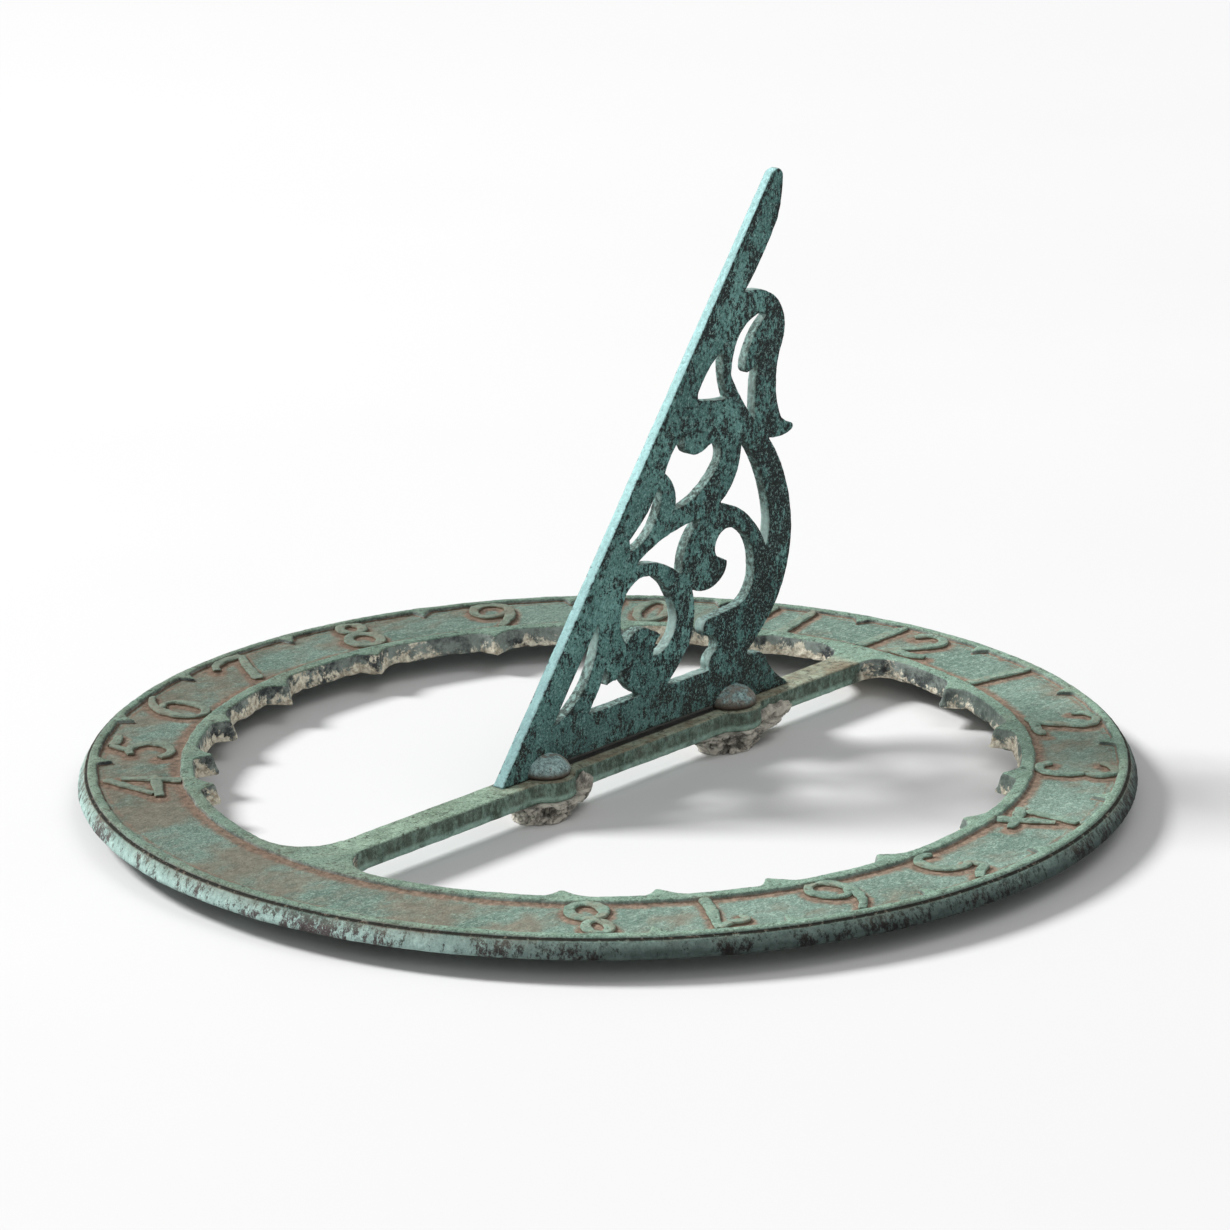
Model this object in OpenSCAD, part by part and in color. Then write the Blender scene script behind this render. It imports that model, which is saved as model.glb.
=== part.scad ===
// Open ring sundial of cast bronze with a pierced scrollwork gnomon.
// The origin is on the ground under the centre of the ring. +Y is north, +X is east, +Z is up.

/* [Dial ring] */
// Outer diameter of the ring at its foot
dial_d = 448; // [430:1:500]
// Diameter of the opening in the ring
opening_d = 349.5; // [330:0.5:360]
// Thickness of the ring and the bar
dial_t = 9; // [7:0.5:12]
// Height of the ring's underside above the ground
ground_gap = 8.5; // [8:0.5:16]
// Slope of the outer side, from lip to foot
side_run = 4.4; // [3:0.2:8]
// Height of the upright foot at the outer side
foot_h = 1.3; // [0.8:0.1:2]
// Width of the raised outer lip
lip_w = 4.1; // [2.5:0.1:7]
// Width of the raised inner rim
rim_w = 6; // [3:0.1:8]
// Depth of the sunk band between lip and rim
band_depth = 1.2; // [0.6:0.1:2]
// Width and depth of the groove outside the lip
groove_w = 0.8; // [0.5:0.1:1.2]

/* [Meridian bar] */
// Width of the bar
bar_w = 14.5; // [14:0.5:18]
// Place of the bar's middle, east of the ring's centre
bar_x = -1.5; // [-4:0.1:2]
// Fillet where the bar meets the ring at the south west
fillet_sw = 22; // [6:1:28]
// Fillet where the bar meets the ring at the south east
fillet_se = 20; // [4:1:24]
// Fillet where the bar meets the ring at the north west
fillet_nw = 18; // [6:1:24]
// Fillet where the bar meets the ring at the north east
fillet_ne = 10; // [4:1:20]

/* [Hour lines] */
// Distance from the ring's centre south to the point where the hour lines meet
hour_origin = 74.3; // [60:0.5:85]
// Sine of the latitude that the hour lines are drawn for
hour_sine = 0.9; // [0.75:0.01:0.95]
// Last hour of the afternoon, which the morning mirrors
last_hour = 8; // [5:1:8]
// Length of an hour cusp at its foot
cusp_len = 8.8; // [5:0.2:10]
// Slope of a cusp's tip, from top to foot
cusp_slope = 2.2; // [0.5:0.1:3]
// Width of an hour cusp where it leaves the ring
cusp_w = 19; // [10:1:22]
// Width of an hour cusp at its tip
cusp_tip = 1.4; // [1:0.1:3]
// Hollow of a cusp's flanks
cusp_hollow = 1.5; // [0.5:0.1:2]
// Length of a half-hour spur on the lip
spur_len = 6.5; // [4:0.5:10]
// Width of a half-hour spur where it leaves the lip
spur_w = 9; // [5:0.5:14]
// Width of a half-hour spur at its tip
spur_tip = 1.2; // [1:0.1:2.5]
// Hollow of a spur's flanks
spur_hollow = 0.8; // [0.4:0.1:1.2]
// How far a spur stays below the lip
spur_drop = 0.2; // [0.1:0.1:0.4]

/* [Gnomon plate] */
// Angle of the style edge above the dial
style_angle = 52.8; // [48:0.1:58]
// Height of the gnomon above the bar
gnomon_h = 231.5; // [210:0.5:250]
// Thickness of the plate at its foot
plate_t = 5.8; // [4.5:0.1:7]
// Thickness of the plate at its top
plate_top_t = 4.4; // [3:0.1:4.5]
// How far the plate's middle stands west of the bar's middle
plate_west = 2.5; // [0:0.1:3]
// Place of the style's toe, south of the ring's centre
toe_south = 64.5; // [60:0.1:68]
// Height of the relief under the plate between the bosses
foot_relief = 3; // [1:0.1:5]

/* [Bosses and lugs] */
// Radius of a boss
boss_r = 10.8; // [9.5:0.1:12]
// Height of a boss
boss_h = 8.5; // [7.5:0.1:10]
// Height of the upright edge of a boss
boss_edge = 1.5; // [0.5:0.1:2.5]
// Place of the front boss, south of the ring's centre
front_south = 38; // [34:0.5:42]
// Place of the rear boss, north of the ring's centre
rear_north = 82; // [78:0.5:90]
// How far a lug shows round its boss
lug_margin = 2; // [1:0.1:4]
// Fillet between a lug and the bar
lug_fillet = 4; // [2:0.5:8]

/* [Studs and nuts] */
// Diameter of a stud
stud_d = 6; // [5:0.5:7]
// How far a stud stands east of the plate's face
stud_out = 4.2; // [4:0.1:4.4]
// Depth of a stud in its boss
stud_depth = 4.2; // [3:0.1:4.5]
// Gap between a stud and its bores
fit_gap = 0.05; // [0.02:0.01:0.1]
// Diameter of a washer
washer_d = 14; // [12:0.5:16]
// Thickness of a washer
washer_t = 1.2; // [0.8:0.1:1.5]
// Width of a nut across its flats
nut_flats = 10; // [9:0.5:11]
// Height of a nut
nut_h = 4.6; // [3:0.1:4.8]
// How far a stud shows below its nut
stud_tail = 0.8; // [0.3:0.1:1]

/* [Bedding] */
// Width of both lumps under the bar
lump_w = 29; // [28:0.5:34]
// Width of both lumps on the ground
lump_foot_w = 23; // [22:0.5:27]
// How far the lumps' middle lies east of the bar's middle
lump_east = 2; // [1:0.1:3]
// Length of the front lump under the bar
front_top_l = 46; // [40:1:52]
// Length of the front lump on the ground
front_foot_l = 25; // [22:1:30]
// How far the front lump's foot lies south of its stud
front_foot_back = 5.5; // [2:0.5:6]
// Length of the rear lump under the bar
rear_top_l = 64; // [50:1:70]
// Length of the rear lump on the ground
rear_foot_l = 30; // [26:1:40]
// How far the rear lump's foot lies south of its stud
rear_foot_back = 5; // [0:0.5:6]
// Roughness of a lump's outline, as a share of its size
lump_rough = 0.05; // [0:0.01:0.08]

/* [Hidden] */

$fn = 96;
eps = 0.01;

// How far a spike's flanks start inside what it grows from
bite = 0.2;

bronze_pale = [0.56, 0.66, 0.58];
bronze_dark = [0.34, 0.44, 0.40];
bronze_raw = [0.62, 0.48, 0.30];
mortar = [0.55, 0.49, 0.42];

// Levels above the ground
z_under = ground_gap;
z_top = ground_gap + dial_t;
z_band = z_top - band_depth;

// Radii of the ring
r_foot = dial_d / 2;
r_lip = r_foot - side_run;
r_band_out = r_lip - lip_w;
r_open = opening_d / 2;
r_band_in = r_open + rim_w;

// Places of the plate, the bosses and the studs
plate_x = bar_x - plate_west;
face_x = plate_x + plate_t / 2;
stud_x = face_x + stud_out;
bosses = [-front_south, rear_north];
z_nut = z_under - washer_t;
z_tail = z_nut - nut_h - stud_tail;
stud_r = stud_d / 2;

// The scrollwork is drawn at this run and height, from the style's toe, and follows the real ones
drawn_run = 175.7;
drawn_h = 231.5;
run_scale = gnomon_h / tan(style_angle) / drawn_run;
h_scale = gnomon_h / drawn_h;

// Longest step of an arc, in degrees
arc_step = 15;

// Points of an arc from a to b, without b. A positive bulge lies to the right of the way from a to b.
function arc(a, b, bulge) =
    bulge == 0 ? [a] :
    let (
        chord = b - a,
        len = norm(chord),
        along = chord / len,
        right = [along[1], -along[0]] * sign(bulge),
        half = 2 * atan(2 * abs(bulge) / len),
        steps = ceil(2 * half / arc_step),
        r = len / 2 / sin(half)
    )
    [for (i = [0 : steps - 1])
        let (turn = half * (2 * i / steps - 1))
        (a + b) / 2 + along * r * sin(turn) + right * r * (cos(turn) - cos(half))];

// Closed outline through corners of [y, z, bulge to the next corner]
function outline(corners) =
    [for (i = [0 : len(corners) - 1])
        let (c = corners[i], n = corners[(i + 1) % len(corners)])
        each arc([c[0], c[1]], [n[0], n[1]], c[2])];

// A drawn outline at the plate's real run and height
function fitted(corners) = [for (p = outline(corners)) [p[0] * run_scale, p[1] * h_scale]];

// Body of the plate, anticlockwise from the style's toe
plate_edge = [
    [0, 0, 0], [183.5, 0, 0], [183.5, 1.5, -1.4], [170, 15, 1], [164, 19, 0], [158, 19.5, -0.8],
    [158.5, 21.3, 0], [167, 28.5, 5.2], [187.5, 71, 3.6], [173, 113.5, 1.2], [187.5, 114, 1.2],
    [187.5, 117.5, -0.4], [181, 121.3, -3.9], [181.5, 154, 5.4], [173.5, 178.3, 1.2],
    [157.2, 181.7, 1], [179, 210, 0.7], [182.5, 228, 1], [179, 231.5, 0.4], [174.8, 230.3, 0]
];

// Slit along the lower style
slit_low = [[32.5, 19.3, 8.2], [61, 56.3, 0.3]];

// Opening over the foot, with a small curl between two notches
foot_curl = [
    [54.5, 18.8, 0], [87.5, 18.8, -1.6], [75.7, 30.5, 0.2], [75.3, 32.8, 0], [72, 29, 0.4],
    [66.5, 28.3, 0.4], [67, 33, 0], [65.5, 35.8, 0.3], [62.2, 29, 0]
];

// Round opening with the large curl
great_eye = [
    [95.8, 34, 4], [110.7, 47, 2.5], [99.5, 67.5, 4.1], [79, 65, 1.6], [76, 49.5, 0.3],
    [78.7, 44, -3.1], [94.5, 46.3, -0.3], [101.3, 42.3, 1.5]
];

// Opening between the great eye and the C curve, with its two curls
heart = [
    [104.5, 18.8, 0], [132, 18.8, -1.9], [136.8, 26.8, 1.8], [134, 33.6, 0], [131, 34, -3],
    [131.5, 42, 0.3], [146.5, 43.2, 5.7], [162, 59.5, 4.5], [147.5, 79, 3], [136.7, 72, 0.5],
    [138.3, 68.5, 0], [144.5, 65.3, -1.7], [138, 56.5, -2], [121.7, 57.3, -2.5], [119, 33, -0.4]
];

// Tall opening inside the C curve
tall_gap = [
    [170.3, 66, 0.5], [172.3, 77, 3.6], [154.3, 118.5, -4.3], [140.8, 92.2, 0], [140.8, 91.5, -4.8]
];

// Half-moon opening under the middle curl
half_moon = [
    [111, 95.8, 3.5], [139.5, 110.5, 2], [137, 119.8, 0], [132.5, 118.6, -2.3], [118.3, 119.2, -0.9],
    [117, 125.8, 0.3], [116, 126.3, 1.5], [104.8, 113, -2.9]
];

// Slit along the middle style
slit_high = [[82, 84, 5.4], [102, 105.5, 0.4], [100.3, 107.3, -1.5], [81.7, 88.7, 0]];

// Opening between the two eyes
saddle = [[87, 76.6, -2.7], [113.8, 66.5, 0.3], [114.8, 67.3, -3], [127, 87.5, 2.7], [87, 77.6, 0.2]];

// Small opening over the middle curl
leaf = [[126.8, 140.3, 0.5], [145.2, 137.5, -1.4], [142.5, 157.5, 0.3], [141, 158.3, 1.3], [126.3, 143, 0.3]];

// Opening in the scroll's head, with its curl
head_eye = [
    [163, 124.2, -0.3], [163.7, 141.5, 0], [165.3, 147.8, 0], [164.3, 148.4, -0.6], [158.3, 145.6, -0.6],
    [156.7, 149, -2.3], [170.5, 168.5, 0.3], [168.5, 170.3, 3], [150.5, 158.5, 0.5], [148, 146.8, 0.8]
];

openings = [
    slit_low, foot_curl, great_eye, heart, tall_gap, half_moon, slit_high, saddle, leaf, head_eye
];

// Angle of an hour line from north, for a time in hours from noon
function line_angle(hour) = atan2(hour_sine * sin(15 * hour), cos(15 * hour));

// Bearing from the ring's centre of the point where an hour line meets radius r
function bearing(hour, r) =
    let (
        a = line_angle(hour),
        along = hour_origin * cos(a) + sqrt(r * r - pow(hour_origin * sin(a), 2)),
        x = along * sin(a),
        y = along * cos(a) - hour_origin
    )
    atan2(x, y);

// The ring's section, turned about the centre
module ring() {
    rotate_extrude($fn = 180)
        polygon([
            [r_open, z_under], [r_foot - foot_h / 2, z_under], [r_foot, z_under + foot_h / 2],
            [r_foot, z_under + foot_h], [r_lip + groove_w, z_band], [r_lip, z_band], [r_lip, z_top],
            [r_band_out, z_top], [r_band_out, z_band], [r_band_in, z_band], [r_band_in, z_top],
            [r_open, z_top]
        ]);
}

// Corner between the bar's side and the opening, filled to a fillet of radius r.
// Side is 1 for east and -1 for west, end is 1 for north and -1 for south.
module corner_fill(side, end, r) {
    edge = bar_x + side * bar_w / 2;
    cx = edge + side * r;
    cy = end * sqrt(pow(r_open - r, 2) - cx * cx);
    out = (r_open + rim_w / 2) / (r_open - r);
    linear_extrude(dial_t)
        difference() {
            polygon([
                [edge - side, cy], [cx, cy], [cx * out, cy * out], [edge - side, cy * out]
            ]);
            translate([cx, cy]) circle(r);
        }
}

// Lug on the bar's east side, with a fillet at each end
module lug() {
    r = boss_r + lug_margin;
    edge = bar_x + bar_w / 2;
    reach = edge + lug_fillet - face_x;
    rise = sqrt(pow(r + lug_fillet, 2) - reach * reach);
    intersection() {
        cylinder(r = r, h = dial_t);
        translate([0, -r, 0]) cube([r, 2 * r, dial_t]);
    }
    for (end = [-1, 1])
        linear_extrude(dial_t)
            difference() {
                polygon([[0, 0], [0, end * rise], [reach, end * rise]]);
                translate([reach, end * rise]) circle(lug_fillet);
            }
}

// Bar with its two lugs and its four filled corners
module bar() {
    half = sqrt(pow(r_open + rim_w / 2, 2) - pow(abs(bar_x) + bar_w / 2, 2));
    translate([0, 0, z_under]) {
        translate([bar_x - bar_w / 2, -half, 0]) cube([bar_w, 2 * half, dial_t]);
        corner_fill(-1, -1, fillet_sw);
        corner_fill(1, -1, fillet_se);
        corner_fill(-1, 1, fillet_nw);
        corner_fill(1, 1, fillet_ne);
        for (y = bosses) translate([face_x, y, 0]) lug();
    }
}

// Plan of a point with hollow flanks, from the edge at radius r inwards along its hour line.
// It reaches back outwards by root, to join what it grows from.
module spike(hour, r, root, length, width, tip_w, hollow) {
    half = width / 2;
    foot = sqrt(pow(r + bite, 2) - half * half);
    tip = r - length;
    lean = tip * sin(bearing(hour, tip) - bearing(hour, r));
    rotate(-bearing(hour, r))
        polygon(outline([
            [-half, r + root, 0], [-half, foot, -hollow], [lean - tip_w / 2, tip, 0],
            [lean + tip_w / 2, tip, -hollow], [half, foot, 0], [half, r + root, 0]
        ]));
}

// Hour cusps of the afternoon, on the inner edge, cut back to a cone so that they widen downwards
module cusps() {
    tip = r_open - cusp_len;
    difference() {
        for (hour = [1 : last_hour])
            translate([0, 0, z_under])
                linear_extrude(dial_t)
                    spike(hour, r_open, rim_w / 2, cusp_len, cusp_w, cusp_tip, cusp_hollow);
        translate([0, 0, z_under]) cylinder(r1 = tip, r2 = tip + cusp_slope, h = dial_t + eps);
    }
}

// Half-hour spurs of the afternoon, on the lip
module spurs() {
    for (hour = [1 : last_hour])
        translate([0, 0, z_band - eps])
            linear_extrude(band_depth - spur_drop + eps)
                spike(hour - 0.5, r_band_out, lip_w / 2, spur_len, spur_w, spur_tip, spur_hollow);
}

module dial_plate() {
    color(bronze_pale)
        difference() {
            union() {
                ring();
                bar();
                for (side = [0, 1])
                    mirror([side, 0, 0]) {
                        cusps();
                        spurs();
                    }
            }
            for (y = bosses)
                translate([stud_x, y, z_under - eps])
                    cylinder(r = stud_r + fit_gap, h = dial_t + 2 * eps);
        }
}

// The pierced plate, standing on its foot from the toe northwards, with its middle at x = 0
module pierced_plate() {
    rotate([90, 0, 90])
        linear_extrude(plate_t, center = true)
            difference() {
                polygon(fitted(plate_edge));
                for (corners = openings) polygon(fitted(corners));
                translate([toe_south - front_south + boss_r / 2, -1])
                    square([front_south + rear_north - boss_r, foot_relief + 1]);
            }
}

// Wedge that thins the plate towards its top
module draft_wedge() {
    run = drawn_run * run_scale;
    rotate([90, 0, 0])
        translate([0, 0, -2 * run])
            linear_extrude(3 * run)
                polygon([
                    [-plate_t / 2, 0], [plate_t / 2, 0],
                    [plate_top_t / 2, gnomon_h], [-plate_top_t / 2, gnomon_h]
                ]);
}

// Half-round boss on the plate's east face, domed on top
module boss() {
    dome = boss_h - boss_edge;
    profile = [for (a = [0 : arc_step : 90]) [boss_r * cos(a), boss_edge + dome * sin(a)]];
    intersection() {
        rotate_extrude() polygon(concat([[0, 0], [boss_r, 0]], profile));
        translate([-plate_t / 2, -boss_r, 0]) cube([2 * boss_r, 2 * boss_r, boss_h]);
    }
}

module gnomon() {
    color(bronze_dark)
        difference() {
            union() {
                translate([plate_x, -toe_south, z_top])
                    intersection() {
                        pierced_plate();
                        draft_wedge();
                    }
                for (y = bosses) translate([face_x, y, z_top]) boss();
            }
            for (y = bosses)
                translate([stud_x, y, z_top - eps])
                    cylinder(r = stud_r + fit_gap, h = stud_depth + fit_gap + eps);
        }
}

module stud(y) {
    color(bronze_raw)
        translate([stud_x, y, z_tail]) cylinder(r = stud_r, h = z_top + stud_depth - z_tail);
}

module washer(y) {
    color(bronze_raw)
        translate([stud_x, y, z_nut])
            difference() {
                cylinder(d = washer_d, h = washer_t);
                translate([0, 0, -eps]) cylinder(r = stud_r + fit_gap, h = washer_t + 2 * eps);
            }
}

module nut(y) {
    color(bronze_raw)
        translate([stud_x, y, z_nut - nut_h])
            difference() {
                cylinder(d = nut_flats / cos(30), h = nut_h, $fn = 6);
                translate([0, 0, -eps]) cylinder(r = stud_r + fit_gap, h = nut_h + 2 * eps);
            }
}

// Uneven oval slab of a lump, one step thick, at height z
module slab(z, width, length, middle, turn) {
    oval = [for (a = [0 : 15 : 345])
        let (r = 1 + lump_rough * (sin(3 * a + turn) + sin(5 * a + 2 * turn)))
        [width / 2 * r * cos(a), length / 2 * r * sin(a)]];
    translate([bar_x + lump_east, middle, z]) linear_extrude(eps) polygon(oval);
}

// Lump with its broad side up against the bar, moulded round the washer, the nut and the stud
module lump(y, top_l, foot_l, foot_back, turn) {
    color(mortar)
        difference() {
            hull() {
                slab(0, lump_foot_w, foot_l, y - foot_back, turn);
                slab(z_under - eps, lump_w, top_l, y, 3 * turn);
            }
            translate([stud_x, y, z_nut - fit_gap]) cylinder(d = washer_d + 2 * fit_gap, h = z_under);
            translate([stud_x, y, z_nut - nut_h - fit_gap])
                cylinder(d = (nut_flats + 2 * fit_gap) / cos(30), h = z_under, $fn = 6);
            translate([stud_x, y, z_tail - fit_gap]) cylinder(r = stud_r + fit_gap, h = z_under);
        }
}

dial_plate();
gnomon();
stud(-front_south);  // stud_front
stud(rear_north);  // stud_rear
washer(-front_south);  // washer_front
washer(rear_north);  // washer_rear
nut(-front_south);  // nut_front
nut(rear_north);  // nut_rear
lump(-front_south, front_top_l, front_foot_l, front_foot_back, 40);  // bedding_front
lump(rear_north, rear_top_l, rear_foot_l, rear_foot_back, 110);  // bedding_rear
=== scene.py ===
import bmesh
import bpy
import numpy as np
from math import atan, atan2, copysign, cos, floor, hypot, pi, radians, sin, sqrt
from mathutils import Matrix, Vector, noise
from mathutils.geometry import delaunay_2d_cdt


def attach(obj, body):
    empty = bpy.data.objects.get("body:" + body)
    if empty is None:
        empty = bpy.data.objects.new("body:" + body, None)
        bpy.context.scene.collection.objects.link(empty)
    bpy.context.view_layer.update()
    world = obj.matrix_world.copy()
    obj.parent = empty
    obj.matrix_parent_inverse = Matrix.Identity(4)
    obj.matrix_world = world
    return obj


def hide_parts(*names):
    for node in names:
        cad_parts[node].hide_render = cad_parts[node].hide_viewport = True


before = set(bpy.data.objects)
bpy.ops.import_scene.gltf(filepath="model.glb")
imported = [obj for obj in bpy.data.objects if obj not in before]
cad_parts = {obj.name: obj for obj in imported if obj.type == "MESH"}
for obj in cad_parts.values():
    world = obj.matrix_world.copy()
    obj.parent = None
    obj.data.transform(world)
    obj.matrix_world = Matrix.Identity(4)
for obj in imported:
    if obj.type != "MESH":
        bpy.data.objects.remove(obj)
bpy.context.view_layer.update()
scene = bpy.context.scene
mm = 0.001
topZ = 17.5


# small helpers

def wander(x, y, z, size, seed=0):
    return noise.noise(Vector((x / size + seed, y / size - seed * 0.7, z / size + 3.1 * seed)))


def smooth(a, b, v):
    t = np.clip((v - a) / (b - a), 0, 1)
    return t * t * (3 - 2 * t)


def addObject(name, data):
    obj = bpy.data.objects.new(name, data)
    scene.collection.objects.link(obj)
    return obj


def makeMesh(name, verts, faces, attributes=None):
    # a smooth mesh from points in mm
    mesh = bpy.data.meshes.new(name)
    mesh.from_pydata([tuple(np.array(v) * mm) for v in verts], [], [tuple(int(i) for i in f) for f in faces])
    for key, values in (attributes or {}).items():
        layer = mesh.attributes.new(key, "FLOAT", "POINT")
        layer.data.foreach_set("value", np.asarray(values, np.float32))
    mesh.shade_smooth()
    return addObject(name, mesh)


def nearest(points, cloud, sizes=0):
    # distance from each point to the closest spot of a cloud, less that spot's size
    out = np.empty(len(points))
    for ids in np.array_split(np.arange(len(points)), max(1, len(points) // 300)):
        out[ids] = (np.sqrt(((points[ids, None] - cloud[None]) ** 2).sum(2)) - sizes).min(1)
    return out


def quads(a, b):
    # faces between two closed rows of points
    return [(p, q, s, r) for p, q, r, s in zip(a, a[1:] + a[:1], b, b[1:] + b[:1])]


def outwards(obj):
    # turns the normals out and drops doubled points
    bm = bmesh.new()
    bm.from_mesh(obj.data)
    bmesh.ops.remove_doubles(bm, verts=bm.verts, dist=0.002 * mm)
    bmesh.ops.recalc_face_normals(bm, faces=bm.faces)
    bm.to_mesh(obj.data)
    bm.free()
    obj.data.update()


class Value:
    # an output socket that can be added, subtracted and multiplied
    def __init__(self, nodes, socket):
        self.nodes = nodes
        self.socket = socket

    def __add__(self, other):
        return self.nodes.math("ADD", self, other)

    def __sub__(self, other):
        return self.nodes.math("SUBTRACT", self, other)

    def __rsub__(self, other):
        return self.nodes.math("SUBTRACT", other, self)

    def __mul__(self, other):
        return self.nodes.math("MULTIPLY", self, other)

    __radd__, __rmul__ = __add__, __mul__


class Nodes:
    # writes a node tree with short calls
    def __init__(self, tree):
        self.tree = tree

    def join(self, value, target):
        # links an output, or sets a plain number or colour on the socket itself
        value = value.socket if isinstance(value, Value) else value
        if isinstance(value, bpy.types.NodeSocket):
            self.tree.links.new(value, target)
        elif target.type == "RGBA" and len(value) == 3:
            target.default_value = (*value, 1)
        else:
            target.default_value = value

    def add(self, kind, values=None, **settings):
        node = self.tree.nodes.new(kind)
        for key, value in settings.items():
            setattr(node, key, value)
        for key, value in (values or {}).items():
            self.join(value, node.inputs[key])
        return node

    def out(self, kind, values=None, pick=0, **settings):
        return Value(self, self.add(kind, values, **settings).outputs[pick])

    def math(self, op, a, b=0):
        return self.out("ShaderNodeMath", {0: a, 1: b}, operation=op)

    def vector(self, op, values, pick=0):
        return self.out("ShaderNodeVectorMath", values, pick, operation=op)

    def band(self, value, lo, hi, a=0, b=1, curve="SMOOTHSTEP"):
        # a where value is lo, b where it is hi
        return self.out("ShaderNodeMapRange", {0: value, 1: lo, 2: hi, 3: a, 4: b}, interpolation_type=curve)

    def mix(self, share, a, b):
        return self.out("ShaderNodeMix", {0: share, 6: a, 7: b}, 2, data_type="RGBA")

    def tint(self, color, other, value, lo, hi, share=1):
        # lays another colour over this one as value goes from lo to hi
        cover = self.band(value, lo, hi)
        return self.mix(cover if share == 1 else cover * share, color, other)

    def noise(self, coords, scale, detail=4, rough=0.55, w=0, distort=0):
        values = {"Vector": coords, "W": w, "Scale": scale, "Detail": detail, "Roughness": rough}
        return self.out("ShaderNodeTexNoise", {**values, "Distortion": distort}, noise_dimensions="4D")

    def noises(self, coords, *kinds):
        return [self.noise(coords, *kind) for kind in kinds]

    def layers(self, color, *others):
        # each other is a colour, the value that brings it, lo, hi and its share
        for other in others:
            color = self.tint(color, *other)
        return color

    def stretch(self, coords, *scale):
        return self.vector("MULTIPLY", {0: coords, 1: scale})

    def scaled(self, color, factor):
        return self.vector("SCALE", {0: color, "Scale": factor})

    def split(self, vector):
        parts = self.add("ShaderNodeSeparateXYZ", {"Vector": vector}).outputs
        return [Value(self, socket) for socket in parts]

    def attr(self, name):
        return self.out("ShaderNodeAttribute", None, "Fac", attribute_name=name)


# geometry nodes: the uneven skin that every casting gets

def newGroup(name, floats, ints=()):
    # a geometry group with named inputs; returns it with its input node
    group = bpy.data.node_groups.new(name, "GeometryNodeTree")
    for direction in ("INPUT", "OUTPUT"):
        group.interface.new_socket("Geometry", in_out=direction, socket_type="NodeSocketGeometry")
    for kind, names in (("Float", floats), ("Int", ints), ("Material", ("Material",))):
        for each in names:
            group.interface.new_socket(each, in_out="INPUT", socket_type="NodeSocket" + kind)
    n = Nodes(group)
    return group, n, n.add("NodeGroupInput").outputs


def endGroup(n, given, moved):
    real = n.add("GeometryNodeRealizeInstances", {"Geometry": moved.outputs[0]})
    painted = n.add("GeometryNodeSetMaterial", {"Geometry": real.outputs[0], "Material": given["Material"]})
    n.add("NodeGroupOutput", {0: painted.outputs[0]})


def skinGroup():
    group, n, given = newGroup("castSkin", ("Swell", "SwellScale", "Grain", "GrainScale", "Seed"))
    place = n.out("GeometryNodeInputPosition")
    swell = n.noise(place, given["SwellScale"], 2, 0.5, given["Seed"]) - 0.5
    grain = n.noise(place, given["GrainScale"], 3, 0.6, given["Seed"]) - 0.5
    total = swell * given["Swell"] + grain * given["Grain"]
    move = n.scaled(n.out("GeometryNodeInputNormal"), total)
    endGroup(n, given, n.add("GeometryNodeSetPosition", {"Geometry": given["Geometry"], "Offset": move}))
    return group


def bake(obj, group, values):
    # runs the group on the object and keeps the result as a plain mesh
    mod = obj.modifiers.new("nodes", "NODES")
    mod.node_group = group
    for item in group.interface.items_tree:
        if item.in_out == "INPUT" and item.name in values:
            mod[item.identifier] = values[item.name]
    bpy.context.view_layer.update()
    made = bpy.data.meshes.new_from_object(obj.evaluated_get(bpy.context.evaluated_depsgraph_get()))
    obj.modifiers.clear()
    if obj.type == "MESH":
        obj.data = made
        return obj
    name = obj.name
    bpy.data.objects.remove(obj)
    return addObject(name, made)


castSkin = skinGroup()


# hour geometry, as in the CAD source

dial = {"openR": 174.75, "rimOut": 179.9, "lipIn": 215.5, "thick": 9, "bandDepth": 1.7, "draft": 1,
        "hourOrigin": 74.3, "hourSine": 0.9, "cusp": {"length": 6.5, "half": 9.5, "flat": 0.7, "power": 1.7},
        "spur": {"length": 6.5, "half": 4.5, "flat": 0.4, "power": 1.6}, "barX": -1.5, "barW": 14.5,
        "cuspDraft": 1.6, "bosses": (-38, 82), "faceX": -1.1, "lugR": 12.8, "lugFillet": 4, "filletSteps": 14,
        "fillets": {(-1, -1): 20, (1, -1): 20, (-1, 1): 18, (1, 1): 10},
        "edgeSteps": (0, 0.35, 0.9), "edgeDrops": (0.8, 0.22, 0), "underDrops": (0.5, 0.14)}
barWest, barEdge = (dial["barX"] + side * dial["barW"] / 2 for side in (-1, 1))


def lineAngle(hour):
    a = radians(15 * hour)
    return atan2(dial["hourSine"] * sin(a), cos(a))


def bearing(hour, r):
    a = lineAngle(hour)
    o = dial["hourOrigin"]
    along = o * cos(a) + sqrt(r * r - (o * sin(a)) ** 2)
    return atan2(along * sin(a), along * cos(a) - o)


def spikeHeight(phi, hour, r, spike, trim=0):
    # height of the inward point of an hour line at bearing phi, in mm
    length, half, flat = spike["length"] + trim, spike["half"], spike["flat"]
    side = copysign(1, hour)
    b0, b1 = bearing(abs(hour), r), bearing(abs(hour), r - length)
    lean = (b1 - b0) * (r - length)
    d = ((side * phi - b0 + pi) % (2 * pi) - pi) * (r - length / 2)
    if abs(d) >= half:
        return 0
    t = min(1, (d + half) / (lean - flat + half), (half - d) / (half - lean - flat))
    return length * t ** spike["power"]


hours = [s * h for s in (1, -1) for h in range(1, 9)]
# how much longer or shorter single cusps are, by hour
cuspTrim = {2: 0.6, 3: 0.4, 4: -0.8, 5: -0.6, 6: 0.2, 8: -0.3, -1: 0.2, -2: 0.1, -3: 0.4, -4: -0.2, -5: 0.5,
            -6: 0.3, -7: 0.8}


def cuspAt(phi):
    return max(spikeHeight(phi, h, dial["openR"], dial["cusp"], cuspTrim.get(h, 0)) for h in hours)


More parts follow.
